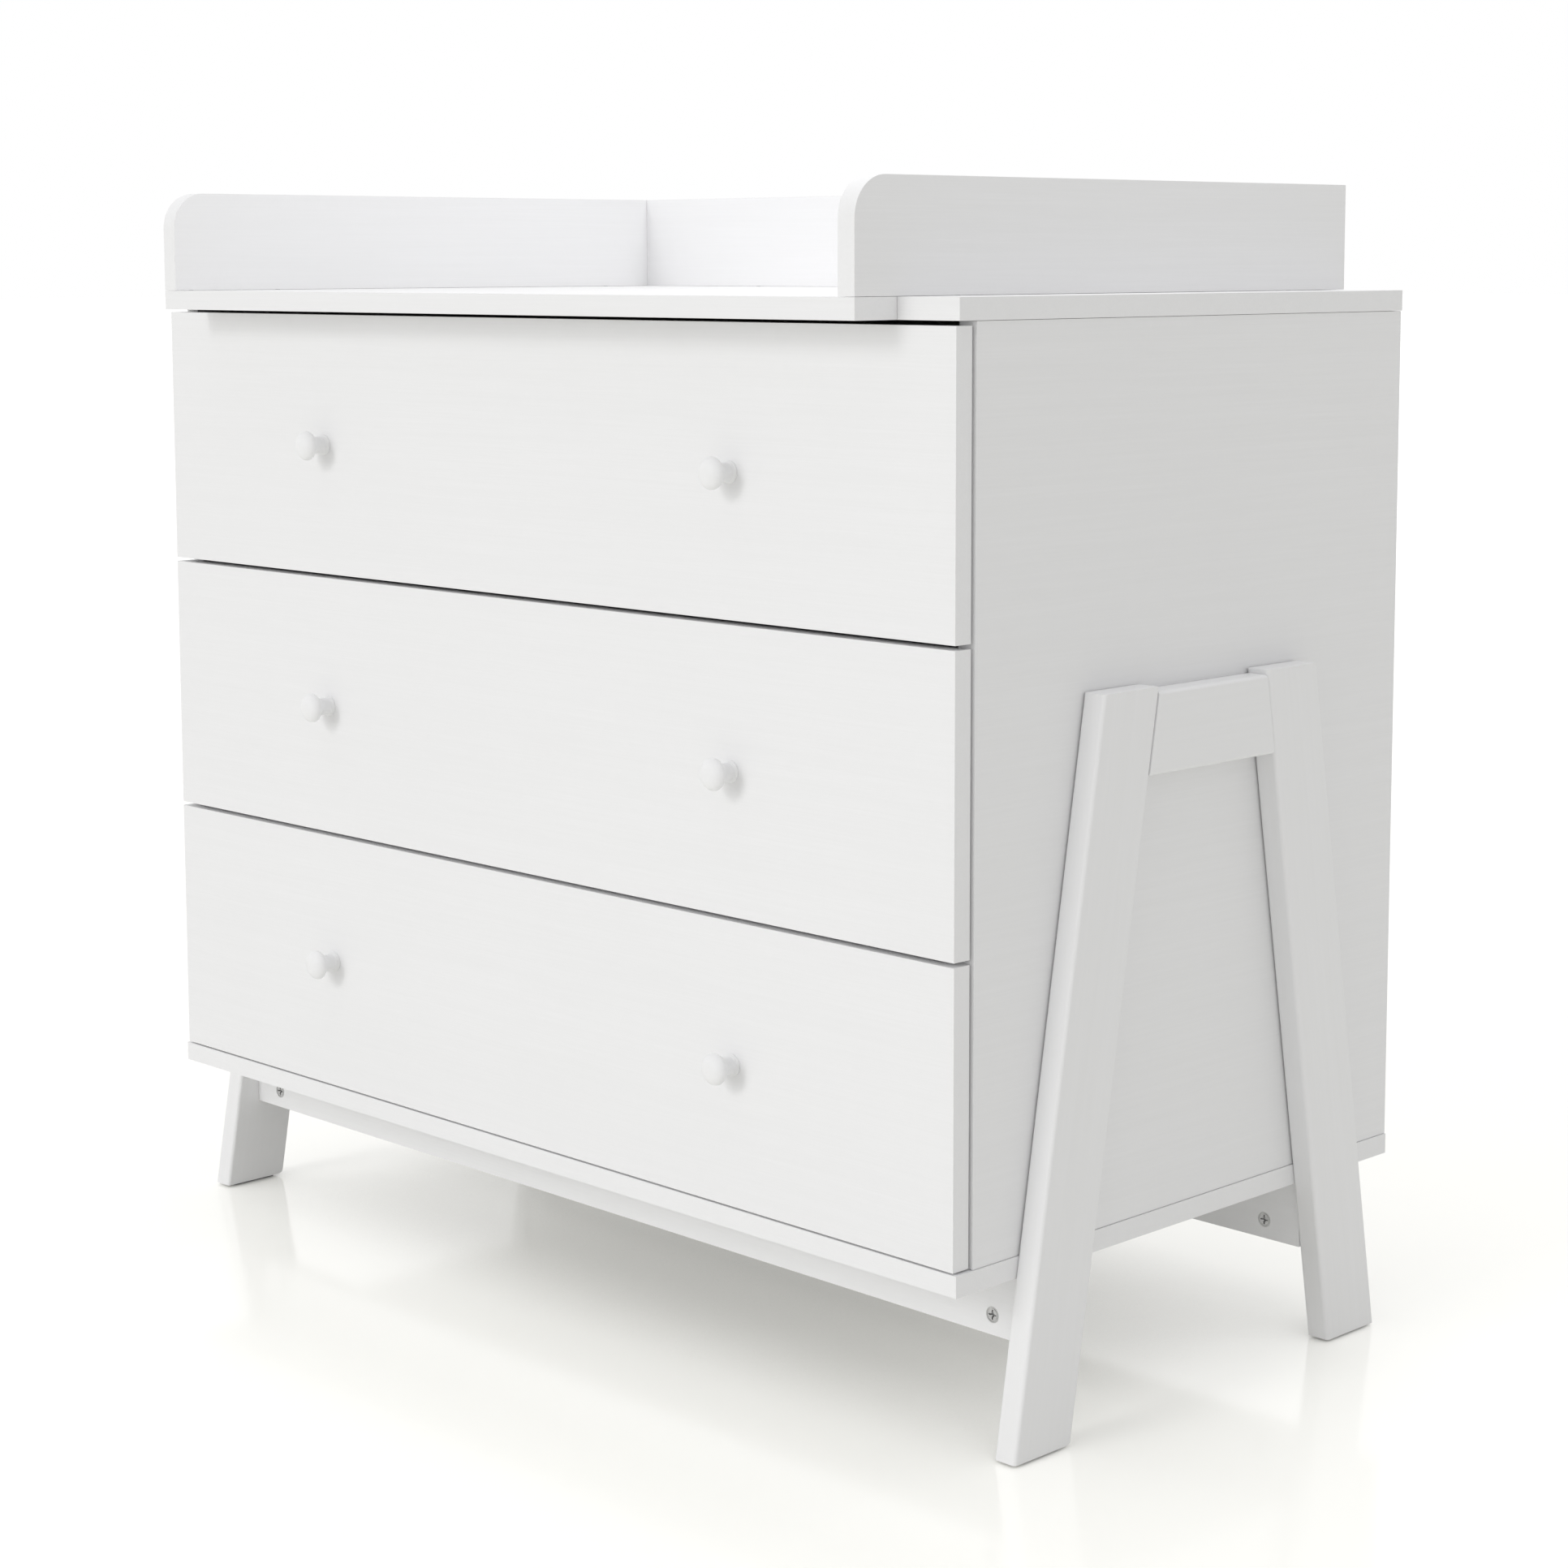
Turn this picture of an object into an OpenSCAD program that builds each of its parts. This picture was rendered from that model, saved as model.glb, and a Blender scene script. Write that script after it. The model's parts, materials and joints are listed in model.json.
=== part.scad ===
// Changing table: a three drawer chest on two A-shaped leg frames, with a raised
// three sided changing rail on its top. X runs to the right as seen from the front,
// Y runs to the back, Z is up. The origin is under the middle of the whole object,
// on the floor. All sizes are in millimetres.

/* [Chest] */
// Width over the two side panels
chest_w = 944; // [700:1:1200]
// Depth from the drawer faces to the back
chest_d = 516; // [500:1:650]
// Thickness of every board
board = 16; // [15:0.5:19]
// Height of the chest's underside above the floor
chest_z = 129.5; // [110:0.5:200]
// How far the top and bottom panels stand proud of the side panels
panel_lip = 1; // [0:0.5:4]
// Thickness of the back panel
back_t = 3; // [3:0.5:5]

/* [Drawers] */
// Width of a drawer front
front_w = 940; // [690:1:1190]
// Height of a drawer front
front_h = 217.5; // [200:0.5:260]
// Gap above each drawer front
front_gap = 3.5; // [2:0.5:6]
// Gap between the lowest drawer front and the bottom panel
low_gap = 1.5; // [1:0.5:4]
// Gap between a drawer front and the edges of the side panels
stand_off = 2.5; // [1:0.5:4]
// Thickness of the drawer box sides and back
box_t = 12; // [12:0.5:15]
// Height of the drawer box sides
box_h = 150; // [110:1:170]
// Length of the drawer box
box_l = 455; // [400:1:460]
// Height of a drawer box above the lower edge of its front
box_lift = 22; // [18:1:28]
// Distance of each knob from the middle
knob_x = 247; // [150:1:330]

/* [Changing top] */
// Width over the side rails
changer_w = 830; // [650:1:930]
// Height of the rails above the chest
rail_h = 83; // [60:1:140]
// How far the changing top reaches in front of the drawer faces
overhang = 42; // [35:1:120]
// How far the rails reach behind the chest
back_over = 3; // [0:1:20]
// Radius of the rails' upper front corners
rail_r = 30; // [10:1:34]

/* [Leg frames] */
// Height of the leg frames without their glides
frame_h = 542.5; // [450:0.5:600]
// Thickness of the legs
leg_t = 20; // [18:0.5:26]
// Width of the legs and the crosspieces
leg_w = 61; // [50:1:70]
// Lean of the legs
leg_lean = 9.6; // [6:0.1:11]
// Distance of the front feet behind the drawer faces
foot_in = 40.5; // [20:0.5:60]
// Height of the glides
glide_t = 2; // [1.5:0.5:5]
// Distance of the front stretcher behind the drawer faces
stretcher_in = 76.5; // [72:0.5:84]
// Distance of the rear stretcher behind the drawer faces
rear_stretcher_in = 400.5; // [396:0.5:412]
// Height of the stretchers
stretcher_h = 53; // [45:1:60]

/* [Hidden] */
$fn = 64;
slack = 0.1;        // clearance of a fastener in its hole
seam = 0.3;         // open seam between two wooden parts

depth = overhang + chest_d + back_over;
face_y = overhang - depth / 2;
back_y = face_y + chest_d;
side_y = face_y + board + stand_off;
side_x = chest_w / 2;
inner_x = side_x - board;
inner_h = 3 * (front_h + front_gap) + low_gap;
floor_z = chest_z + board;
roof_z = floor_z + inner_h;
top_z = roof_z + board;
groove = 7;
groove_y = back_y - 22;

// Changing top
rail_x = changer_w / 2;
rail_back_y = back_y + back_over;
strip_screw_y = face_y - overhang / 2;
rail_screws_y = [face_y + 70, back_y - 60];

// Drawers: number 1 is the lowest
drawer_numbers = [1, 2, 3];
function front_z(i) = floor_z + low_gap + (i - 1) * (front_h + front_gap);
function box_z(i) = front_z(i) + box_lift;
function knob_z(i) = front_z(i) + front_h / 2;
front_back_y = face_y + board;
bottom_t = 3;
bottom_lift = 10;
bottom_groove = 6;

// Runners: one pair for each drawer, with three members each
runner_t = 12.7;
runner_l = box_l - 5;
runner_y = side_y + 2;
runner_lift = 45;
sheet = 1.2;
box_x = inner_x - runner_t;
function runner_z(i) = box_z(i) + runner_lift;

// Knob
knob_l = 24.5;
knob_r = 12.2;
knob_neck_r = 7.1;
knob_foot_r = 8.5;
knob_hole_r = 2.25;
knob_screw_r = 1.9;

// Leg frames: they bear on the edge of the bottom panel
leg_x = side_x + panel_lip;
foot_z = glide_t;
frame_top_z = foot_z + frame_h;
run = tan(leg_lean);
leg_span = leg_w / cos(leg_lean);
front_foot_y = face_y + foot_in;
rear_foot_y = back_y - foot_in;
cross_drop = 3.5;
cross_top_z = frame_top_z - cross_drop;
cross_z = cross_top_z - leg_w / 2;
edge_r = 3;
heel_r = 8;
function front_leg_y(z) = front_foot_y + leg_span / 2 + (z - foot_z) * run;
function rear_leg_y(z) = rear_foot_y - leg_span / 2 - (z - foot_z) * run;

dowel_r = 4;
dowel_l = 30;

// Cam fittings and screws
cam_r = 6;
cam_h = 11.5;
cam_in = 34;
bolt_z = chest_z - stretcher_h + 15;
big_cam_r = 7.5;
big_cam_h = 12.5;
big_cam_in = 24;
carcass_bolts_y = [side_y + 38, back_y - 68];
bolt_r = 3;
thread_r = 2.5;
thread_l = 11;
drawer_cam_lifts = [30, box_h - 30];
drawer_cam_h = 9.5;
drawer_cam_in = 24;
screw_r = 2;
screw_head_r = 4;
leg_screw_l = 32;
leg_screws_z = [floor_z + 38, cross_z - 40];
changer_screw_l = 42;

paint_board = [0.95, 0.95, 0.94];
paint_wood = [0.93, 0.93, 0.92];
box_board = [0.90, 0.90, 0.88];
hardboard = [0.88, 0.87, 0.84];
zinc = [0.72, 0.73, 0.74];
steel = [0.62, 0.63, 0.65];
beech = [0.80, 0.66, 0.46];
glide_grey = [0.35, 0.35, 0.36];

// ---- Helpers ----

// A box given by its lowest corner and its highest corner
module block(low, high) {
    translate(low) cube(high - low);
}

// A cylinder along X, Y or Z from a start point
module rod_x(start, length, r) {
    translate(start) rotate([0, 90, 0]) cylinder(h = length, r = r);
}
module rod_y(start, length, r) {
    translate(start) rotate([-90, 0, 0]) cylinder(h = length, r = r);
}
module rod_z(start, length, r) {
    translate(start) cylinder(h = length, r = r);
}

// The right hand side, or its mirror image on the left
module on_side(side) {
    if (side > 0) children();
    else mirror([1, 0, 0]) children();
}
module both_sides() {
    for (side = [-1, 1]) on_side(side) children();
}

// A rectangle with round corners, centred
module round_rect(w, h, r) {
    square([w - 2 * r, h], center = true);
    square([w, h - 2 * r], center = true);
    for (x = [-1, 1], y = [-1, 1]) translate([x * (w / 2 - r), y * (h / 2 - r)]) circle(r);
}

// Countersunk screw along +Z, its head's face at the origin
module flat_screw(length) {
    head_h = screw_head_r - screw_r;
    difference() {
        union() {
            cylinder(h = head_h, r1 = screw_head_r, r2 = screw_r);
            cylinder(h = length, r = screw_r);
        }
        cross_recess(screw_head_r * 0.55, 0.8, head_h);
    }
}

// The hole that a countersunk screw needs
module screw_hole(length) {
    head_h = screw_head_r - screw_r + 2 * slack;
    translate([0, 0, -slack]) cylinder(h = head_h, r1 = screw_head_r + 2 * slack, r2 = screw_r + slack);
    translate([0, 0, -slack]) cylinder(h = length + 2 * slack, r = screw_r + slack);
}

// Cross recess sunk along +Z from the origin
module cross_recess(reach, width, sink) {
    for (turn = [0, 90]) rotate(turn)
        translate([-reach, -width / 2, -1]) cube([2 * reach, width, sink + 1]);
}

// Cam housing along +Z, its slotted face at the origin, open towards +X for a bolt
// that lies bolt_depth under its face
module cam(r, h, bolt_depth) {
    difference() {
        cylinder(h = h, r = r);
        cross_recess(r * 0.62, r * 0.2, 2.4);
        cylinder(h = 1.6, r1 = r * 0.34, r2 = r * 0.1);
        difference() {
            translate([0, 0, -1]) cylinder(h = 1.4, r = r * 0.86);
            translate([0, 0, -2]) cylinder(h = 3, r = r * 0.78);
        }
        rod_x([0, 0, bolt_depth], r + 1, bolt_r + 0.3);
    }
}

// Bolt for a cam along +X: its thread lies behind the origin and its head at reach
module cam_bolt(reach) {
    rod_x([-thread_l, 0, 0], thread_l, thread_r);
    rod_x([0, 0, 0], reach - 6, bolt_r);
    rod_x([reach - 6.5, 0, 0], 4, bolt_r * 0.55);
    rod_x([reach - 3, 0, 0], 2.7, bolt_r * 0.95);
}

// ---- Chest ----

module panel_slab(z) {
    wide = side_x + panel_lip;
    block([-wide, face_y, z], [wide, back_y, z + board]);
}

// Holes for the threads of the carcass bolts, in the top and bottom panels
module carcass_thread_holes(z) {
    for (x = [-1, 1], y = carcass_bolts_y)
        rod_z([x * (side_x - board / 2), y, z], thread_l + slack, thread_r + slack);
}

module top_panel() {
    color(paint_board) difference() {
        panel_slab(roof_z);
        block([-inner_x - groove, groove_y, roof_z - 1],
            [inner_x + groove, groove_y + back_t, roof_z + groove]);
        carcass_thread_holes(roof_z - slack);
        changer_screw_holes();
    }
}

module bottom_panel() {
    color(paint_board) difference() {
        panel_slab(chest_z);
        block([-inner_x - groove, groove_y, floor_z - groove],
            [inner_x + groove, groove_y + back_t, floor_z + 1]);
        carcass_thread_holes(floor_z - thread_l);
    }
}

module side_panel(side) {
    color(paint_board) on_side(side) difference() {
        block([inner_x, side_y, floor_z + seam], [side_x, back_y, roof_z - seam]);
        block([inner_x - 1, groove_y, floor_z - 1],
            [inner_x + groove, groove_y + back_t, roof_z + 1]);
        for (y = carcass_bolts_y, up = [-1, 1]) carcass_cam_place(y, up) {
            translate([0, 0, -1]) cylinder(h = big_cam_h + 1 + slack, r = big_cam_r + slack);
            rod_x([0, 0, board / 2], big_cam_in + 1, bolt_r + 0.5);
        }
        leg_screw_places() screw_hole(leg_screw_l);
    }
}

// Where a carcass cam sits in the right side panel: its +X points at the panel it pulls
module carcass_cam_place(y, up) {
    z = up > 0 ? roof_z - big_cam_in : floor_z + big_cam_in;
    translate([inner_x, y, z]) rotate([0, 90, 0]) rotate(up > 0 ? 180 : 0) children();
}

module carcass_cams() {
    color(zinc) both_sides() for (y = carcass_bolts_y, up = [-1, 1])
        carcass_cam_place(y, up) cam(big_cam_r, big_cam_h, board / 2);
}

module carcass_bolts() {
    color(steel) both_sides() for (y = carcass_bolts_y, up = [-1, 1])
        carcass_cam_place(y, up)
            translate([big_cam_in, 0, board / 2]) mirror([1, 0, 0]) cam_bolt(big_cam_in);
}

module back_panel() {
    reach = inner_x + groove - 0.5;
    color(hardboard) block([-reach, groove_y + slack, floor_z - groove + 0.5],
        [reach, groove_y + back_t - slack, roof_z + groove - 0.5]);
}

// ---- Changing top ----

module front_strip() {
    color(paint_board) difference() {
        block([-rail_x, face_y - overhang, roof_z], [rail_x, face_y - seam, top_z]);
        changer_screw_holes();
    }
}

module changer_rail(side) {
    length = depth;
    color(paint_board) on_side(side) difference() {
        translate([rail_x - board, 0, 0]) rotate([90, 0, 90]) linear_extrude(board) {
            translate([face_y - overhang + rail_r, top_z + seam]) square([length - rail_r, rail_h - seam]);
            translate([face_y - overhang, top_z + seam]) square([length, rail_h - rail_r - seam]);
            translate([face_y - overhang + rail_r, top_z + rail_h - rail_r]) circle(rail_r);
        }
        changer_screw_holes();
    }
}

module changer_rail_back() {
    reach = rail_x - board - seam / 2;
    color(paint_board) difference() {
        block([-reach, rail_back_y - board, top_z + seam], [reach, rail_back_y, top_z + rail_h]);
        back_screw_places() screw_hole(changer_screw_l);
    }
}

// The screws that hold the rails go up from the strip and from the top panel
module changer_screw_places() {
    both_sides() for (y = concat([strip_screw_y], rail_screws_y))
        translate([rail_x - board / 2, y, roof_z]) children();
}
module back_screw_places() {
    for (x = [-1, 0, 1])
        translate([x * rail_x * 0.6, back_y - 6.5, roof_z]) children();
}
module changer_screw_holes() {
    changer_screw_places() screw_hole(changer_screw_l);
    back_screw_places() screw_hole(changer_screw_l);
}

module changer_screws() {
    color(steel) {
        changer_screw_places() flat_screw(changer_screw_l);
        back_screw_places() flat_screw(changer_screw_l);
    }
}

// ---- Leg frames ----

// A leg of the right frame, leaning back as it rises when lean is positive
module leg_blank(foot_y, lean) {
    reach = frame_h * 1.2;
    intersection() {
        translate([leg_x + leg_t / 2, foot_y, foot_z]) rotate([-lean, 0, 0])
            translate([0, 0, -reach / 8]) linear_extrude(reach) round_rect(leg_t, leg_w, edge_r);
        block([leg_x - 1, face_y - 50, foot_z], [leg_x + leg_t + 1, back_y + 50, frame_top_z]);
    }
}

module front_leg(side) {
    heel_y = front_foot_y + leg_span;
    color(paint_wood) on_side(side) difference() {
        leg_blank(front_foot_y + leg_span / 2, leg_lean);
        difference() {
            block([leg_x - 1, heel_y - heel_r, foot_z - 1],
                [leg_x + leg_t + 1, heel_y + 20, foot_z + heel_r]);
            rod_x([leg_x - 2, heel_y - heel_r + heel_r * run, foot_z + heel_r], leg_t + 4, heel_r);
        }
        stretcher_thread_hole(stretcher_in);
        leg_screw_pilots();
        frame_dowel_holes();
    }
}

module rear_leg(side) {
    color(paint_wood) on_side(side) difference() {
        leg_blank(rear_foot_y - leg_span / 2, -leg_lean);
        stretcher_thread_hole(rear_stretcher_in);
        leg_screw_pilots();
        frame_dowel_holes();
    }
}

module stretcher_thread_hole(y_in) {
    rod_x([leg_x - 1, face_y + y_in + board / 2, bolt_z], thread_l + 1 + slack, thread_r + slack);
}

module crosspiece(side) {
    y_front = front_leg_y(cross_z) + leg_span / 2;
    y_rear = rear_leg_y(cross_z) - leg_span / 2;
    rise = leg_w / 2;
    color(paint_wood) on_side(side) difference() {
        intersection() {
            translate([leg_x + leg_t / 2, face_y, cross_z]) rotate([-90, 0, 0])
                linear_extrude(chest_d) round_rect(leg_t, leg_w, edge_r);
            translate([leg_x - 1, 0, 0]) rotate([90, 0, 90]) linear_extrude(leg_t + 2) polygon([
                [y_front - rise * run + seam, cross_z - rise], [y_rear + rise * run - seam, cross_z - rise],
                [y_rear - rise * run - seam, cross_z + rise], [y_front + rise * run + seam, cross_z + rise]]);
        }
        frame_dowel_holes();
    }
}

module frame_dowel_places() {
    for (dz = [-1, 1]) {
        z = cross_z + dz * leg_w * 0.28;
        translate([leg_x + leg_t / 2, front_leg_y(z) + leg_span / 2, z]) children();
        translate([leg_x + leg_t / 2, rear_leg_y(z) - leg_span / 2, z]) children();
    }
}
module frame_dowel_holes() {
    frame_dowel_places() rod_y([0, -dowel_l / 2 - 0.5, 0], dowel_l + 1, dowel_r + slack);
}
module frame_dowels() {
    color(beech) both_sides() frame_dowel_places() rod_y([0, -dowel_l / 2, 0], dowel_l, dowel_r);
}

// Screws through the right side panel into its legs, each along its own +Z
module leg_screw_places() {
    for (z = leg_screws_z, y = [front_leg_y(z), rear_leg_y(z)])
        translate([inner_x, y, z]) rotate([0, 90, 0]) children();
}
module leg_screw_pilots() {
    leg_screw_places() screw_hole(leg_screw_l);
}
module leg_screws() {
    color(steel) both_sides() leg_screw_places() flat_screw(leg_screw_l);
}

module stretcher(y_in) {
    color(paint_board) difference() {
        block([-leg_x, face_y + y_in, chest_z - stretcher_h],
            [leg_x, face_y + y_in + board, chest_z]);
        both_sides() stretcher_cam_place(y_in) {
            translate([0, 0, -1]) cylinder(h = cam_h + 1 + slack, r = cam_r + slack);
            rod_x([0, 0, board / 2], cam_in + 1, bolt_r + 0.5);
        }
    }
}

// A cam in the front face of a stretcher, its +Z pointing back and its +X at the leg
module stretcher_cam_place(y_in) {
    translate([leg_x - cam_in, face_y + y_in, bolt_z]) rotate([-90, 0, 0]) children();
}

module stretcher_cams() {
    color(zinc) both_sides() for (y_in = [stretcher_in, rear_stretcher_in])
        stretcher_cam_place(y_in) cam(cam_r, cam_h, board / 2);
}

module stretcher_bolts() {
    color(steel) both_sides() for (y_in = [stretcher_in, rear_stretcher_in])
        translate([leg_x, face_y + y_in + board / 2, bolt_z]) mirror([1, 0, 0]) cam_bolt(cam_in);
}

module foot_glides() {
    inset = 3;
    color(glide_grey) both_sides() for (y = [front_foot_y + leg_span / 2, rear_foot_y - leg_span / 2])
        translate([leg_x + leg_t / 2, y, 0]) linear_extrude(glide_t)
            round_rect(leg_t - 2 * inset, leg_span - 6 * inset, 2);
}

// ---- Runners ----

// Cross-sections: x runs from the side panel towards the drawer, y is up
module channel(web_x, half_h, reach) {
    difference() {
        translate([min(web_x, reach), -half_h]) square([abs(reach - web_x), 2 * half_h]);
        translate([min(web_x, reach) + (reach > web_x ? sheet : -1), sheet - half_h])
            square([abs(reach - web_x) - sheet + 1, 2 * (half_h - sheet)]);
    }
}

// Stands a cross-section up at a runner's place beside the right side panel
module runner_bar(i, start_y, length) {
    translate([inner_x, start_y + length, runner_z(i)]) rotate([90, 0, 0])
        linear_extrude(length) mirror([1, 0, 0]) children();
}

module cabinet_runners() {
    color(zinc) both_sides() for (i = drawer_numbers)
        runner_bar(i, runner_y, runner_l) channel(0, 22.5, 8.5);
}

module runner_middle(i) {
    color(zinc) both_sides() runner_bar(i, runner_y, runner_l) channel(2, 17.6, 10.4);
}

module drawer_runner(i) {
    color(zinc) both_sides() runner_bar(i, runner_y, runner_l) channel(runner_t, 12.7, 4.2);
}

// ---- Drawers ----

// Two cams in each drawer side pull it against the front: +X points at the front
module drawer_cam_places(i) {
    for (lift = drawer_cam_lifts)
        translate([box_x - box_t, front_back_y + drawer_cam_in, box_z(i) + lift])
            rotate([0, 90, 0]) rotate(-90) children();
}

module drawer_front(i) {
    color(paint_board) difference() {
        block([-front_w / 2, face_y, front_z(i)], [front_w / 2, front_back_y, front_z(i) + front_h]);
        for (x = [-1, 1])
            rod_y([x * knob_x, face_y - 1, knob_z(i)], board + 2, knob_hole_r);
        both_sides() drawer_cam_places(i)
            rod_x([drawer_cam_in - slack, 0, box_t / 2], thread_l + 2 * slack, thread_r + slack);
    }
}

module drawer_side(i, side) {
    color(box_board) on_side(side) difference() {
        block([box_x - box_t, front_back_y, box_z(i)], [box_x, front_back_y + box_l, box_z(i) + box_h]);
        drawer_bottom_groove(i);
        drawer_cam_places(i) {
            translate([0, 0, -1]) cylinder(h = drawer_cam_h + 1 + slack, r = cam_r + slack);
            rod_x([0, 0, box_t / 2], drawer_cam_in + 1, bolt_r + 0.5);
        }
    }
}

module drawer_bottom_groove(i) {
    reach = box_x - box_t + bottom_groove;
    block([-reach, front_back_y - 1, box_z(i) + bottom_lift],
        [reach, front_back_y + box_l + 1, box_z(i) + bottom_lift + bottom_t]);
}

// The back stands on the drawer bottom, between the sides
module drawer_back(i) {
    reach = box_x - box_t - 0.05;
    color(box_board) block([-reach, front_back_y + box_l - box_t, box_z(i) + bottom_lift + bottom_t],
        [reach, front_back_y + box_l, box_z(i) + box_h]);
}

module drawer_bottom(i) {
    reach = box_x - box_t + bottom_groove - 0.4;
    color(hardboard) block([-reach, front_back_y + 0.2, box_z(i) + bottom_lift + 0.1],
        [reach, front_back_y + box_l, box_z(i) + bottom_lift + bottom_t]);
}

// Outline of a knob: x is the radius, y the distance from the drawer face
waist_y = 4;
rim_y = 16.2;
crown_y = 18;
function ease(t) = (1 - cos(180 * t)) / 2;
function flare(t) = [knob_neck_r + (knob_r - 0.6 - knob_neck_r) * pow(t, 5),
    waist_y + (rim_y - waist_y) * t];
function crown(a) = [knob_r * pow(cos(a), 0.72), crown_y + (knob_l - crown_y) * pow(sin(a), 1.1)];
knob_outline = concat(
    [[0, 0], [knob_foot_r, 0], [knob_foot_r, 1.4], [knob_foot_r - 0.5, 2]],
    [for (s = [0 : 5]) let (t = s / 5)
        [knob_foot_r - 0.6 - (knob_foot_r - 0.6 - knob_neck_r) * ease(t), 2 + (waist_y - 2) * t]],
    [for (s = [1 : 10]) flare(s / 10)],
    [for (s = [0 : 5 : 85]) crown(s)],
    [[0, knob_l]]);

module knob(i, side) {
    color(paint_wood) on_side(side) translate([knob_x, face_y, knob_z(i)]) difference() {
        rotate([90, 0, 0]) rotate_extrude($fn = 96) polygon(knob_outline);
        rod_y([0, -14, 0], 15, knob_screw_r + slack);
    }
}

module knob_screws(i) {
    in_knob = 13.5;
    head_h = 2.4;
    color(steel) for (x = [-1, 1]) translate([x * knob_x, 0, knob_z(i)]) {
        rod_y([0, face_y - in_knob, 0], board + in_knob, knob_screw_r);
        translate([0, front_back_y + head_h, 0]) rotate([90, 0, 0]) difference() {
            cylinder(h = head_h, r1 = 3.6, r2 = 4.2);
            cross_recess(2.2, 0.9, 1.3);
        }
    }
}

module drawer_fittings(i) {
    color(zinc) both_sides() drawer_cam_places(i) {
        cam(cam_r, drawer_cam_h, box_t / 2);
        translate([drawer_cam_in, 0, box_t / 2]) mirror([1, 0, 0]) cam_bolt(drawer_cam_in);
    }
}

// ---- Assembly ----

top_panel();
bottom_panel();
side_panel(-1);  // side_panel_left
side_panel(1);  // side_panel_right
back_panel();
front_strip();
changer_rail(-1);  // changer_rail_left
changer_rail(1);  // changer_rail_right
changer_rail_back();
front_leg(-1);  // front_leg_left
front_leg(1);  // front_leg_right
rear_leg(-1);  // rear_leg_left
rear_leg(1);  // rear_leg_right
crosspiece(-1);  // crosspiece_left
crosspiece(1);  // crosspiece_right
stretcher(stretcher_in);  // front_stretcher
stretcher(rear_stretcher_in);  // rear_stretcher
stretcher_cams();
stretcher_bolts();
foot_glides();
leg_screws();
frame_dowels();
carcass_cams();
carcass_bolts();
changer_screws();
cabinet_runners();
for (i = drawer_numbers) {
    runner_middle(i);
    drawer_front(i);
    drawer_side(i, -1);
    drawer_side(i, 1);
    drawer_back(i);
    drawer_bottom(i);
    knob(i, -1);
    knob(i, 1);
    knob_screws(i);
    drawer_fittings(i);
    drawer_runner(i);
}
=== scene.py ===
"""Looks of the changing table: materials, edge finish, small runner parts, floor, light and camera."""

import json
import math

import bmesh
import bpy
from mathutils import Matrix, Vector


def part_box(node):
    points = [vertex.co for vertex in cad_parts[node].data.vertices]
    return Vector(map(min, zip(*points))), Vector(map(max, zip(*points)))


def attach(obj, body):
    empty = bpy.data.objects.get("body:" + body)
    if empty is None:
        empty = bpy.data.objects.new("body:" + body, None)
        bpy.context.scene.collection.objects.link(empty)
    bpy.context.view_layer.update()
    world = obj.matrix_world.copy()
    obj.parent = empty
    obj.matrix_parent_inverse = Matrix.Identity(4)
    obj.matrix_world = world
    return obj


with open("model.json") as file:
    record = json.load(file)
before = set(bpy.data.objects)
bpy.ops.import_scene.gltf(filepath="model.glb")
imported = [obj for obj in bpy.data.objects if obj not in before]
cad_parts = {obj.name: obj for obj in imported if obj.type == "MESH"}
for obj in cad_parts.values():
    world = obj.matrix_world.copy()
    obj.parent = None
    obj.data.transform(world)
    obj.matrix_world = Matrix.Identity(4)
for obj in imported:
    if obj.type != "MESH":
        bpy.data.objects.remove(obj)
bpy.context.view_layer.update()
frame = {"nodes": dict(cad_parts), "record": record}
NODES = frame["nodes"]
SLOT_OF = {part["node"]: part["material_slot"] for part in frame["record"]["subparts"]}
MM = 0.001
MIX_COLOURS = (6, 7)  # the colour inputs of a Mix node
MIX_RESULT = 2        # its colour output


# ---- Shader helpers ----

def new_material(name):
    """An empty node material with its output, and the node tree to fill."""
    made = bpy.data.materials.new(name)
    made.use_nodes = True
    made.node_tree.nodes.clear()
    return made, made.node_tree


def add(tree, kind, inputs=None, **settings):
    """Adds a node. inputs maps a socket's name or number to a value or to another node's output."""
    node = tree.nodes.new(kind)
    for key, value in settings.items():
        setattr(node, key, value)
    for key, value in (inputs or {}).items():
        socket = node.inputs[key]
        if isinstance(value, bpy.types.NodeSocket):
            tree.links.new(value, socket)
        else:
            socket.default_value = value
    return node


def place(tree, scale, tilt=0.0):
    """The object's own coordinates, turned about X by tilt and stretched by scale."""
    where = add(tree, "ShaderNodeTexCoord")
    turned = add(tree, "ShaderNodeMapping", {"Vector": where.outputs["Object"],
                                             "Rotation": (tilt, 0, 0)})
    return add(tree, "ShaderNodeMapping", {"Vector": turned.outputs[0], "Scale": scale}).outputs[0]


def noise(tree, scale, detail, rough, tilt=0.0):
    """Noise with scale lumps to the metre along X, Y and Z, turned about X by tilt."""
    return add(tree, "ShaderNodeTexNoise", {"Vector": place(tree, scale, tilt), "Scale": 1.0,
                                            "Detail": detail, "Roughness": rough}).outputs[0]


def between(tree, value, low, high, to_low, to_high):
    """Maps low..high of a value to to_low..to_high, and holds it there."""
    return add(tree, "ShaderNodeMapRange", {"Value": value, "From Min": low, "From Max": high,
                                            "To Min": to_low, "To Max": to_high}, clamp=True).outputs[0]


def mix_colour(tree, share, first, second):
    """The first colour, with the given share of the second."""
    node = add(tree, "ShaderNodeMix", {"Factor": share}, data_type="RGBA")
    for number, value in zip(MIX_COLOURS, (first, second)):
        if isinstance(value, bpy.types.NodeSocket):
            tree.links.new(value, node.inputs[number])
        else:
            node.inputs[number].default_value = (*value, 1.0)
    return node.outputs[MIX_RESULT]


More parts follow.
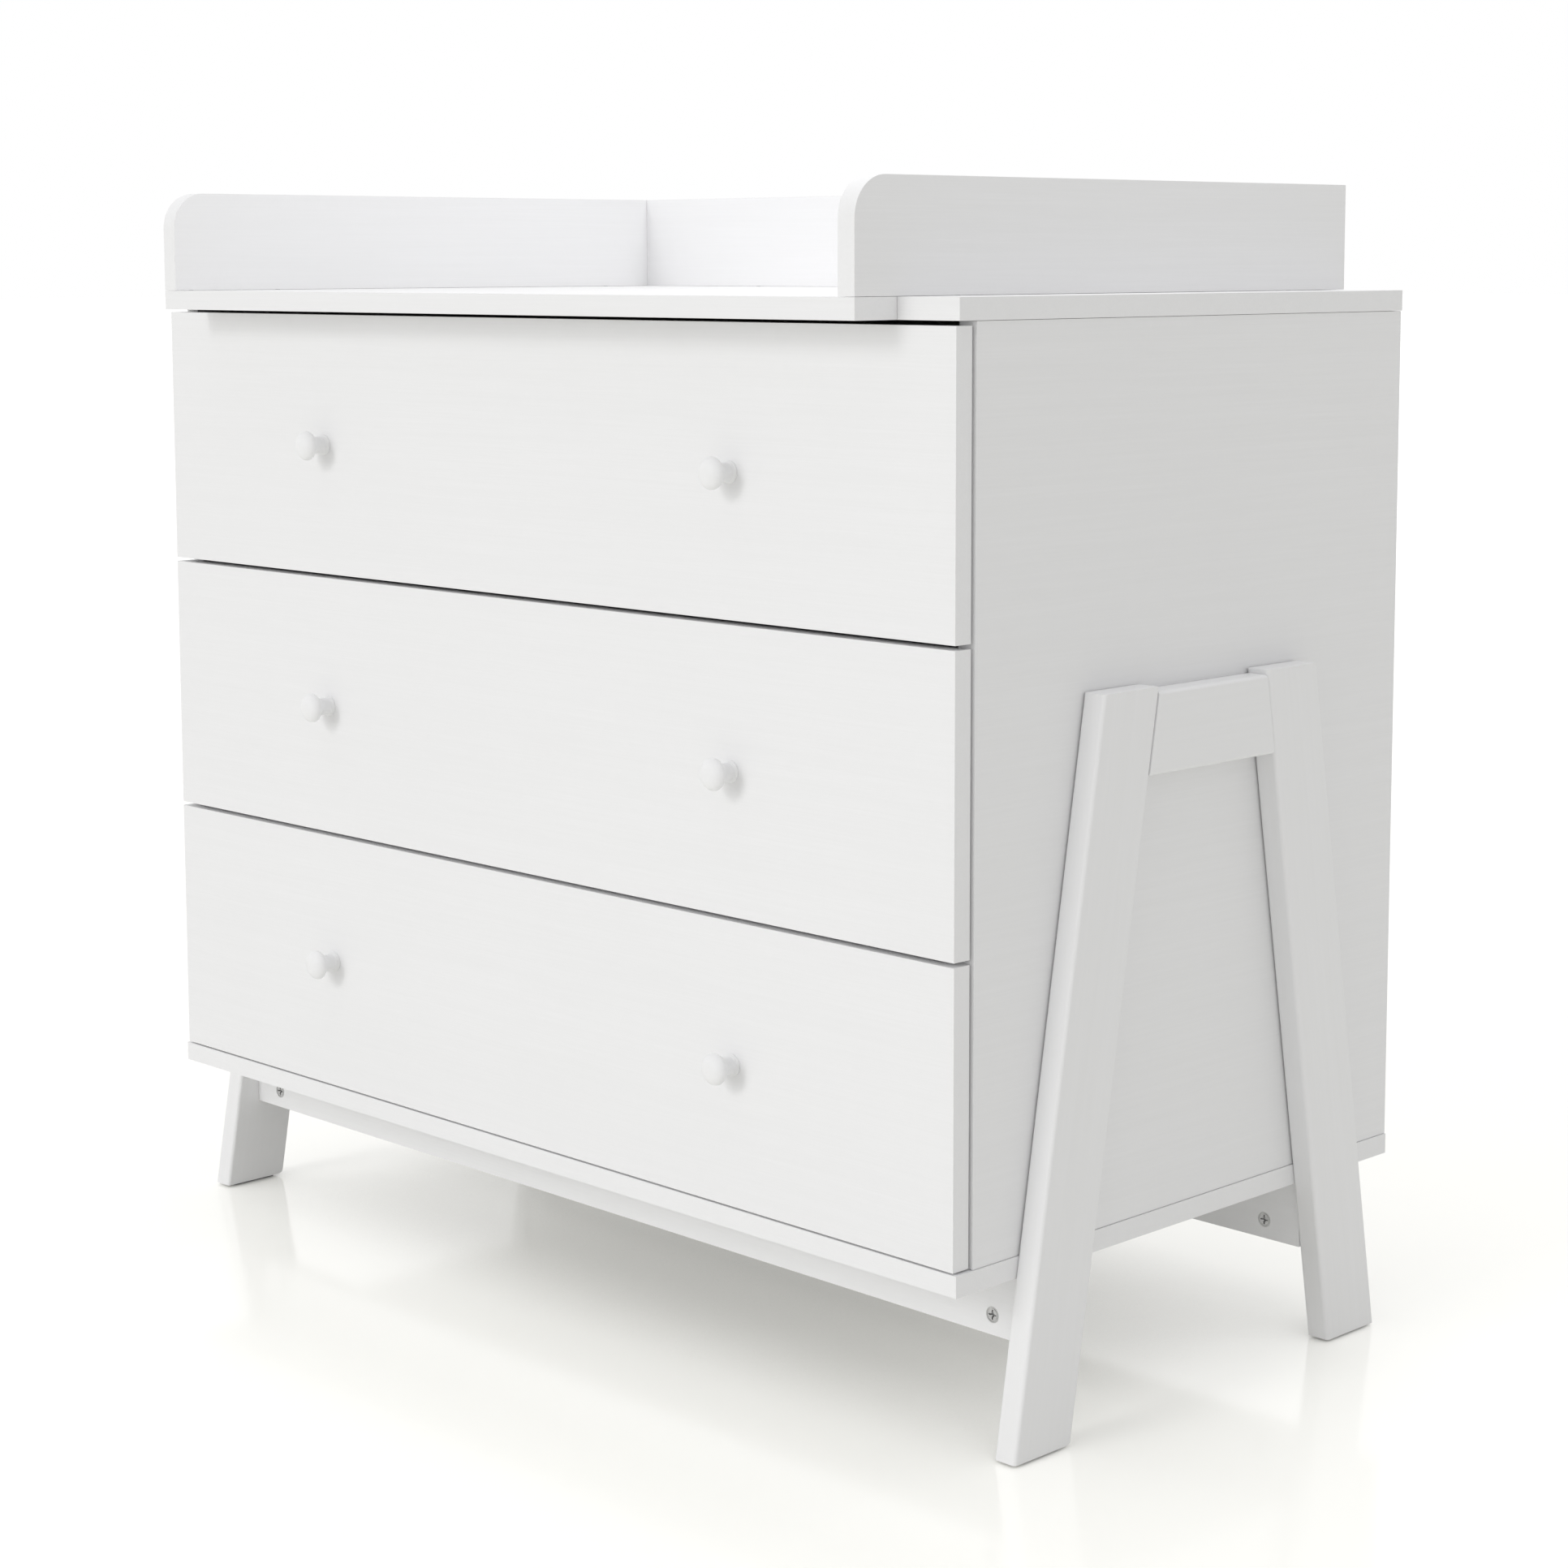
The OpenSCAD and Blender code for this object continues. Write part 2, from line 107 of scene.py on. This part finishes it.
def add_values(tree, first, second, share):
    """first + second * share"""
    return add(tree, "ShaderNodeMath", {0: second, 1: share, 2: first},
               operation="MULTIPLY_ADD").outputs[0]


def product(tree, first, second):
    return add(tree, "ShaderNodeMath", {0: first, 1: second}, operation="MULTIPLY").outputs[0]


def tint(level, *shares):
    """A colour: one level of light, with a share of it in each channel."""
    return tuple(level * share for share in shares)


def edge_mask(tree, radius):
    """1 on a rounded edge and 0 on a flat face, found by comparing the face with its bevelled normal."""
    soft = add(tree, "ShaderNodeBevel", {"Radius": radius}, samples=4)
    flat = add(tree, "ShaderNodeNewGeometry")
    along = add(tree, "ShaderNodeVectorMath", {0: soft.outputs[0], 1: flat.outputs["Normal"]},
                operation="DOT_PRODUCT")
    return between(tree, along.outputs["Value"], 0.97, 0.75, 0.0, 1.0)


def surface(tree, colour, roughness, height, bump, bump_depth, specular=0.5, metallic=0.0, coat=0.0):
    """A Principled surface with its bump, wired to the output."""
    raised = add(tree, "ShaderNodeBump", {"Height": height, "Strength": bump, "Distance": bump_depth})
    shader = add(tree, "ShaderNodeBsdfPrincipled", {"Base Color": colour, "Roughness": roughness,
                                                    "Normal": raised.outputs[0]})
    shader.inputs["Specular IOR Level"].default_value = specular
    shader.inputs["Metallic"].default_value = metallic
    shader.inputs["Coat Weight"].default_value = coat
    out = add(tree, "ShaderNodeOutputMaterial")
    tree.links.new(shader.outputs[0], out.inputs["Surface"])
    return shader


# ---- Materials ----

PAINT_WHITE = 0.86
BOX_WHITE = 0.80


def stretched(axis, along, across):
    """A noise scale that stretches the lumps along one axis."""
    return tuple(along if a == axis else across for a in "xyz")


def even(lumps):
    """A noise scale that is the same along all axes."""
    return (lumps, lumps, lumps)


def rubbed_edges(tree, colour, edges, patches, low, worn):
    """Lets the colour wear off the edges, more in some patches than in others."""
    share = product(tree, edges, between(tree, patches, low, 0.65, 0.1, 0.5))
    return mix_colour(tree, share, colour, worn)


def painted_board(name, axis):
    """Satin white foil: fine embossed pores along the board, slight cloudiness, smoother rounded edges."""
    made, tree = new_material(name)
    pores = noise(tree, stretched(axis, 9.0, 620.0), 5.0, 0.62)
    streaks = noise(tree, stretched(axis, 2.2, 120.0), 3.0, 0.5)
    clouds = noise(tree, even(4.0), 2.0, 0.5)
    peel = noise(tree, even(420.0), 2.0, 0.5)
    edges = edge_mask(tree, 1.2 * MM)
    light = tint(PAINT_WHITE, 1.0, 1.0, 1.01)
    shade = tint(PAINT_WHITE, 0.965, 0.965, 0.972)
    worn = tint(PAINT_WHITE, 0.955, 0.945, 0.925)
    colour = mix_colour(tree, between(tree, pores, 0.35, 0.65, 0.55, 0.0), light, shade)
    colour = mix_colour(tree, between(tree, streaks, 0.35, 0.7, 0.0, 0.35), colour, shade)
    colour = mix_colour(tree, between(tree, clouds, 0.4, 0.7, 0.0, 0.25), colour, shade)
    colour = rubbed_edges(tree, colour, edges, clouds, 0.45, worn)
    rough = add_values(tree, between(tree, pores, 0.3, 0.7, 0.46, 0.38), edges, -0.08)
    height = add_values(tree, pores, add_values(tree, streaks, peel, 0.25), 0.5)
    surface(tree, colour, rough, height, 0.5, 0.14 * MM, specular=0.42)
    return made


def painted_wood(name, axis, tilt=0.0):
    """White paint on solid wood: a soft brushed grain along the piece, rounder and shinier edges."""
    made, tree = new_material(name)
    grain = noise(tree, stretched(axis, 6.0, 260.0), 4.0, 0.6, tilt)
    broad = noise(tree, stretched(axis, 1.5, 45.0), 2.0, 0.5, tilt)
    peel = noise(tree, even(300.0), 2.0, 0.5)
    edges = edge_mask(tree, 1.5 * MM)
    light = tint(PAINT_WHITE, 1.0, 1.0, 1.01)
    shade = tint(PAINT_WHITE, 0.972, 0.972, 0.977)
    worn = tint(PAINT_WHITE, 0.96, 0.95, 0.925)
    colour = mix_colour(tree, between(tree, grain, 0.35, 0.65, 0.5, 0.0), light, shade)
    colour = mix_colour(tree, between(tree, broad, 0.4, 0.7, 0.0, 0.4), colour, shade)
    colour = rubbed_edges(tree, colour, edges, broad, 0.4, worn)
    rough = add_values(tree, between(tree, grain, 0.3, 0.7, 0.42, 0.34), edges, -0.06)
    height = add_values(tree, grain, add_values(tree, broad, peel, 0.3), 0.5)
    surface(tree, colour, rough, height, 0.3, 0.15 * MM, specular=0.45, coat=0.08)
    return made


def matte_board(name, axis):
    """Matte white foil on chipboard for the drawer boxes: a fine print-like pore and dull cut edges."""
    made, tree = new_material(name)
    pores = noise(tree, stretched(axis, 14.0, 420.0), 4.0, 0.6)
    specks = noise(tree, even(900.0), 1.0, 0.5)
    edges = edge_mask(tree, 0.8 * MM)
    light = tint(BOX_WHITE, 1.0, 1.0, 0.985)
    shade = tint(BOX_WHITE, 0.95, 0.95, 0.93)
    chipboard = (0.70, 0.67, 0.60)
    colour = mix_colour(tree, between(tree, pores, 0.35, 0.65, 0.6, 0.0), light, shade)
    colour = mix_colour(tree, between(tree, specks, 0.6, 0.75, 0.0, 0.3), colour, shade)
    colour = mix_colour(tree, between(tree, edges, 0.0, 1.0, 0.0, 0.4), colour, chipboard)
    rough = between(tree, pores, 0.3, 0.7, 0.66, 0.52)
    surface(tree, colour, rough, add_values(tree, pores, specks, 0.4), 0.3, 0.1 * MM, specular=0.35)
    return made


def hardboard(name):
    """White painted hardboard: an orange-peel paint film over pressed fibres."""
    made, tree = new_material(name)
    fibres = noise(tree, (160.0, 220.0, 160.0), 6.0, 0.7)
    broad = noise(tree, even(9.0), 2.0, 0.5)
    edges = edge_mask(tree, 0.6 * MM)
    light = tint(BOX_WHITE, 1.0, 0.995, 0.985)
    shade = tint(BOX_WHITE, 0.95, 0.94, 0.925)
    raw = (0.36, 0.25, 0.16)
    colour = mix_colour(tree, between(tree, fibres, 0.4, 0.7, 0.0, 0.6), light, shade)
    colour = mix_colour(tree, between(tree, broad, 0.4, 0.7, 0.0, 0.3), colour, shade)
    colour = mix_colour(tree, between(tree, edges, 0.0, 1.0, 0.0, 0.7), colour, raw)
    rough = between(tree, fibres, 0.3, 0.7, 0.5, 0.68)
    surface(tree, colour, rough, fibres, 0.4, 0.15 * MM, specular=0.35)
    return made


def beech(name):
    """Turned beech: warm grain with small dark flecks along Y."""
    made, tree = new_material(name)
    rings = noise(tree, (240.0, 20.0, 240.0), 4.0, 0.6)
    flecks = noise(tree, (1400.0, 260.0, 1400.0), 2.0, 0.5)
    early, late, fleck = (0.66, 0.46, 0.27), (0.50, 0.32, 0.17), (0.28, 0.16, 0.08)
    colour = mix_colour(tree, between(tree, rings, 0.35, 0.65, 0.0, 1.0), early, late)
    colour = mix_colour(tree, between(tree, flecks, 0.62, 0.7, 0.0, 0.6), colour, fleck)
    rough = between(tree, rings, 0.3, 0.7, 0.6, 0.5)
    surface(tree, colour, rough, rings, 0.4, 0.1 * MM, specular=0.35)
    return made


def metal(name, tone, brushed_axis, rough_low, rough_high, cast=(1.0, 1.0, 1.0)):
    """Zinc plated or die-cast metal: cloudy passivation, fine scratches and bright worn edges."""
    made, tree = new_material(name)
    clouds = noise(tree, even(55.0), 4.0, 0.6)
    scratches = noise(tree, stretched(brushed_axis, 30.0, 1500.0), 3.0, 0.6)
    pits = noise(tree, even(1100.0), 2.0, 0.5)
    edges = edge_mask(tree, 0.35 * MM)
    light = tint(tone, *cast)
    shade = tint(tone * 0.86, *cast)
    bright = tint(tone * 1.25, *cast)
    colour = mix_colour(tree, between(tree, clouds, 0.38, 0.66, 0.0, 1.0), light, shade)
    colour = mix_colour(tree, between(tree, scratches, 0.58, 0.72, 0.0, 0.4), colour, bright)
    colour = mix_colour(tree, between(tree, edges, 0.0, 1.0, 0.0, 0.6), colour, bright)
    rough = add_values(tree, between(tree, clouds, 0.3, 0.7, rough_low, rough_high), edges, -0.08)
    height = add_values(tree, scratches, pits, 0.5)
    surface(tree, colour, rough, height, 0.25, 0.05 * MM, specular=0.5, metallic=1.0)
    return made


def moulded_plastic(name):
    """Grey moulded plastic with a fine spark-eroded texture."""
    made, tree = new_material(name)
    spark = noise(tree, even(900.0), 3.0, 0.6)
    broad = noise(tree, even(60.0), 2.0, 0.5)
    light, dark = (0.24, 0.24, 0.25), (0.19, 0.19, 0.20)
    colour = mix_colour(tree, between(tree, broad, 0.35, 0.65, 0.0, 1.0), light, dark)
    rough = between(tree, spark, 0.3, 0.7, 0.5, 0.62)
    surface(tree, colour, rough, spark, 0.35, 0.08 * MM, specular=0.4)
    return made


LEG_LEAN = math.radians(9.6)
FOIL = {axis: painted_board("painted_board_" + axis, axis) for axis in "xyz"}
WOOD = {
    "front_leg": painted_wood("painted_leg_front", "z", LEG_LEAN),
    "rear_leg": painted_wood("painted_leg_rear", "z", -LEG_LEAN),
    "crosspiece": painted_wood("painted_crosspiece", "y"),
    "knob": painted_wood("painted_knob", "y"),
}
BOX = {axis: matte_board("drawer_board_" + axis, axis) for axis in "xy"}
PLAIN = {
    "hardboard": hardboard("hardboard"),
    "beech": beech("beech"),
    "zinc_alloy": metal("zinc_alloy", 0.62, "z", 0.34, 0.46),
    "runner_steel": metal("runner_steel", 0.66, "y", 0.26, 0.38, (0.97, 0.99, 1.0)),
    "screw_steel": metal("screw_steel", 0.60, "x", 0.24, 0.36),
    "glide_plastic": moulded_plastic("glide_plastic"),
}


def finish_of(node):
    """The material of a CAD node. Its grain runs along the long side, or along Y on a side panel."""
    slot = SLOT_OF[node]
    if slot == "painted_wood":
        return next(WOOD[kind] for kind in WOOD if node.startswith(kind))
    if slot in PLAIN:
        return PLAIN[slot]
    low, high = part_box(node)
    size = high - low
    longest = "xyz"[max(range(3), key=lambda i: size[i])]
    if slot == "drawer_board":
        return BOX[longest]
    if node.startswith("side_panel"):
        return FOIL["y"]
    return FOIL[longest]


# ---- Edge finish of the CAD pieces ----

# Width of the rounded edges, in mm
EDGE = {"painted_board": 0.7, "painted_wood": 0.8, "drawer_board": 0.4, "hardboard": 0.2, "beech": 0.5,
        "zinc_alloy": 0.12, "runner_steel": 0.2, "screw_steel": 0.12, "glide_plastic": 0.4}


def soften_edges(piece, width):
    """Joins the mesh's split corners, then rounds every sharp edge by width in metres."""
    weld = piece.modifiers.new("join_corners", "WELD")
    weld.merge_threshold = 0.002 * MM  # far less than the smallest edge
    flat = piece.modifiers.new("whole_faces", "DECIMATE")
    flat.decimate_type = "DISSOLVE"
    flat.angle_limit = math.radians(0.5)
    bevel = piece.modifiers.new("round_edges", "BEVEL")
    bevel.width = width
    bevel.segments = 2
    bevel.limit_method = "ANGLE"
    bevel.angle_limit = math.radians(32)
    bevel.miter_outer = "MITER_ARC"
    shade = piece.modifiers.new("even_shading", "WEIGHTED_NORMAL")
    shade.keep_sharp = False


def finish_cad_nodes():
    for node, piece in NODES.items():
        piece.data.materials.clear()
        piece.data.materials.append(finish_of(node))
        soften_edges(piece, EDGE[SLOT_OF[node]] * MM)


finish_cad_nodes()


# ---- Small runner parts ----

RUNNER_SHEET = 1.2 * MM   # sheet thickness of the runners
INNER_DEPTH = 8.5 * MM    # depth of a runner's inner member, which is on the drawer
SCREW_PLACES = (35 * MM, 225 * MM, 400 * MM)   # from the inner member's front end

# All in mm, from the face that the head lies on
HEAD_OUTLINE = ((3.4, 0.0), (3.4, 0.45), (3.15, 0.95), (2.6, 1.3), (2.3, 1.4))   # radius and height
CROSS_ARM, CROSS_HALF_WIDTH = 1.75, 0.42
CROSS_RIM, CROSS_FLOOR, CROSS_TAPER = 1.4, 0.6, 0.75
QUARTER_TURNS = ((1, 0), (0, 1), (-1, 0), (0, -1))   # cosine and sine

CAGE_SIZE = (4.4 * MM, 64 * MM, 1.5 * MM)
CAGE_MIDDLE = 30 * MM     # from the middle member's front end
BALL_RADIUS = 1.6 * MM
BALL_INSET = 3.0 * MM     # from the inner member's outer side to the balls' centres
BALL_COUNT, FIRST_BALL, BALL_PITCH = 7, 3, 9   # the last two in mm


def ring(mesh, radius, height, count=28):
    """A circle of corners about X, at a height along X."""
    turns = (2 * math.pi * i / count for i in range(count))
    return [mesh.verts.new((height, radius * math.cos(t), radius * math.sin(t))) for t in turns]


def wall(mesh, first, second):
    """Faces between two loops of corners with the same count."""
    for i in range(len(first)):
        j = (i + 1) % len(first)
        mesh.faces.new((first[i], first[j], second[j], second[i]))


def pan_head(mesh, centre, outward):
    """A low screw head with a cross recess. It lies on a face across X and points along outward."""
    start = set(mesh.verts)
    loops = [ring(mesh, radius * MM, height * MM) for radius, height in HEAD_OUTLINE]
    for first, second in zip(loops, loops[1:]):
        wall(mesh, first, second)
    mesh.faces.new(list(reversed(loops[0])))
    arm, half = CROSS_ARM * MM, CROSS_HALF_WIDTH * MM
    quarter = ((arm, -half), (arm, half), (half, half))
    outline = []
    for c, s in QUARTER_TURNS:
        outline += [(y * c - z * s, y * s + z * c) for y, z in quarter]
    rim = [mesh.verts.new((CROSS_RIM * MM, y, z)) for y, z in outline]
    deep = [mesh.verts.new((CROSS_FLOOR * MM, CROSS_TAPER * y, CROSS_TAPER * z)) for y, z in outline]
    wall(mesh, rim, deep)
    mesh.faces.new(deep)
    edges = [mesh.edges.get((loop[i - 1], loop[i]))
             for loop in (loops[-1], rim) for i in range(len(loop))]
    bmesh.ops.triangle_fill(mesh, use_beauty=True, use_dissolve=False, edges=edges)
    for corner in mesh.verts:
        if corner not in start:
            corner.co = Vector((corner.co.x * outward, corner.co.y, corner.co.z)) + Vector(centre)


def add_piece(name, mesh, finish, body):
    """Puts a finished mesh into the scene, on a body of the CAD model."""
    bmesh.ops.recalc_face_normals(mesh, faces=mesh.faces)
    for face in mesh.faces:
        face.smooth = True
    data = bpy.data.meshes.new(name)
    mesh.to_mesh(data)
    mesh.free()
    data.set_sharp_from_angle(angle=math.radians(35))
    data.materials.append(PLAIN[finish])
    piece = bpy.data.objects.new(name, data)
    bpy.context.scene.collection.objects.link(piece)
    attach(piece, body)


def runner_screws(number, side):
    """Three screws hold the inner member of a runner to the drawer's side."""
    low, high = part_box("drawer_runner_%d" % number)
    web = (high.x - INNER_DEPTH + RUNNER_SHEET) * side
    mesh = bmesh.new()
    for along in SCREW_PLACES:
        pan_head(mesh, (web, low.y + along, (low.z + high.z) / 2), side)
    add_piece("runner_screws_%s_%d" % ("right" if side > 0 else "left", number), mesh, "screw_steel",
              "drawer_%d" % number)


def ball_cage(number, side):
    """Balls in steel cages at the front end of a runner's middle member, above and below the inner one."""
    low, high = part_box("runner_middle_%d" % number)
    inner_low, inner_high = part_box("drawer_runner_%d" % number)
    mesh = bmesh.new()
    x = (inner_high.x - BALL_INSET) * side
    for z in ((high.z - RUNNER_SHEET + inner_high.z) / 2, (low.z + RUNNER_SHEET + inner_low.z) / 2):
        bmesh.ops.create_cube(mesh, size=1.0, matrix=Matrix.Translation((x, low.y + CAGE_MIDDLE, z))
                              @ Matrix.Diagonal((*CAGE_SIZE, 1.0)))
        for step in range(BALL_COUNT):
            along = low.y + (FIRST_BALL + BALL_PITCH * step) * MM
            bmesh.ops.create_uvsphere(mesh, u_segments=20, v_segments=12, radius=BALL_RADIUS,
                                      matrix=Matrix.Translation((x, along, z)))
    add_piece("ball_cage_%s_%d" % ("right" if side > 0 else "left", number), mesh, "runner_steel",
              "runner_slides_%d" % number)


for number in (1, 2, 3):
    for side in (-1, 1):
        runner_screws(number, side)
        ball_cage(number, side)


# ---- Floor, light and camera ----

FLOOR_REACH = 60.0        # half of the floor's side
GLOW_SEEN = 0.22          # the floor's own light, as the camera sees it
GLOW_GIVEN = 0.06         # the same, as it lights the table


def make_floor():
    """A glossy white studio floor. It mirrors the table faintly and glows a little, and the glow is dimmed
    under and near the table as painted shade.
    """
    mesh = bpy.data.meshes.new("floor")
    corners = [(x * FLOOR_REACH, y * FLOOR_REACH, 0.0) for x, y in ((-1, -1), (1, -1), (1, 1), (-1, 1))]
    mesh.from_pydata(corners, [], [(0, 1, 2, 3)])
    floor = bpy.data.objects.new("floor", mesh)
    bpy.context.scene.collection.objects.link(floor)
    made, tree = new_material("studio_floor")
    haze = noise(tree, even(3.0), 2.0, 0.5)
    light, shade = (0.93, 0.925, 0.88), (0.92, 0.915, 0.87)
    colour = mix_colour(tree, between(tree, haze, 0.3, 0.7, 0.0, 1.0), light, shade)
    rough = between(tree, haze, 0.3, 0.7, 0.10, 0.13)
    shader = surface(tree, colour, rough, haze, 0.0, 1 * MM, specular=0.7)
    path = add(tree, "ShaderNodeLightPath")
    # Ambient occlusion dims the floor's glow under and near the table: painted shade
    painted_shade_ao = add(tree, "ShaderNodeAmbientOcclusion", {"Distance": 0.4}, samples=8)
    seen = between(tree, path.outputs["Is Camera Ray"], 0.0, 1.0, GLOW_GIVEN, GLOW_SEEN)
    glow_with_painted_shade = product(tree, seen, between(tree, painted_shade_ao.outputs["AO"], 0.12, 0.36, 0.3, 1.0))
    shader.inputs["Emission Color"].default_value = (1.0, 1.0, 1.0, 1.0)
    tree.links.new(glow_with_painted_shade, shader.inputs["Emission Strength"])
    mesh.materials.append(made)


def direction(azimuth, elevation):
    """Towards a light: azimuth 0 stands in front of the table, and positive ones to the right."""
    turn, rise = math.radians(azimuth), math.radians(elevation)
    return Vector((math.sin(turn) * math.cos(rise), -math.cos(turn) * math.cos(rise), math.sin(rise)))


def add_lamp(name, data, place_at, towards):
    """Puts a lamp into the scene, which shines opposite to the direction towards and is never seen."""
    lamp = bpy.data.objects.new(name, data)
    bpy.context.scene.collection.objects.link(lamp)
    lamp.location = place_at
    lamp.rotation_mode = "QUATERNION"
    lamp.rotation_quaternion = towards.to_track_quat("Z", "Y")
    lamp.visible_camera = False
    lamp.visible_glossy = False


def make_sun(name, azimuth, elevation, strength, softness):
    """Parallel light from a round patch of sky that is softness degrees across."""
    data = bpy.data.lights.new(name, "SUN")
    data.energy = strength
    data.angle = math.radians(softness)
    add_lamp(name, data, (0, 0, 3), direction(azimuth, elevation))


def make_softbox(name, place_at, aim_at, size, power):
    """A rectangular lamp, aimed at a point. Its power is in watts."""
    data = bpy.data.lights.new(name, "AREA")
    data.energy = power
    data.shape = "RECTANGLE"
    data.size, data.size_y = size
    add_lamp(name, data, place_at, (Vector(place_at) - Vector(aim_at)).normalized())


def make_world(ambient):
    """An even pale surround: plain white where it is seen or mirrored, and softer as a light."""
    world = bpy.data.worlds.new("studio")
    world.use_nodes = True
    tree = world.node_tree
    tree.nodes.clear()
    path = add(tree, "ShaderNodeLightPath")
    seen = add(tree, "ShaderNodeMath", {0: path.outputs["Is Camera Ray"], 1: path.outputs["Is Glossy Ray"]},
               operation="MAXIMUM")
    lit = add(tree, "ShaderNodeBackground", {"Color": (1, 1, 1, 1), "Strength": ambient})
    white = add(tree, "ShaderNodeBackground", {"Color": (1, 1, 1, 1), "Strength": 1.0})
    both = add(tree, "ShaderNodeMixShader", {0: seen.outputs[0], 1: lit.outputs[0], 2: white.outputs[0]})
    out = add(tree, "ShaderNodeOutputWorld")
    tree.links.new(both.outputs[0], out.inputs["Surface"])
    bpy.context.scene.world = world


def make_camera():
    """A long lens, a little lower than the rails and turned to the front right corner."""
    yaw, pitch, roll = (math.radians(a) for a in (45.553, -6.761, -0.155))
    data = bpy.data.cameras.new("camera")
    data.lens = 72.60
    data.sensor_width = 36.0
    data.shift_x = 0.0007
    data.shift_y = -0.0960
    data.clip_end = 200.0
    camera = bpy.data.objects.new("camera", data)
    bpy.context.scene.collection.objects.link(camera)
    turn = Matrix.Rotation(yaw, 4, "Z") @ Matrix.Rotation(math.radians(90) + pitch, 4, "X")
    stand = Matrix.Translation((1.9167, -1.8222, 0.8520))
    camera.matrix_world = stand @ turn @ Matrix.Rotation(roll, 4, "Z")
    bpy.context.scene.camera = camera


make_floor()
make_world(ambient=0.67)
make_sun("overhead", azimuth=0.0, elevation=88.0, strength=0.26, softness=60.0)
make_sun("key", azimuth=-6.0, elevation=27.0, strength=0.48, softness=16.0)
make_sun("front", azimuth=-12.0, elevation=12.0, strength=0.45, softness=30.0)
make_softbox("tray", place_at=(0.36, 0.12, 1.55), aim_at=(-0.40, 0.0, 0.87), size=(0.7, 0.5), power=3.3)
make_camera()

bpy.context.scene.view_settings.view_transform = "Standard"
bpy.context.scene.view_settings.look = "None"
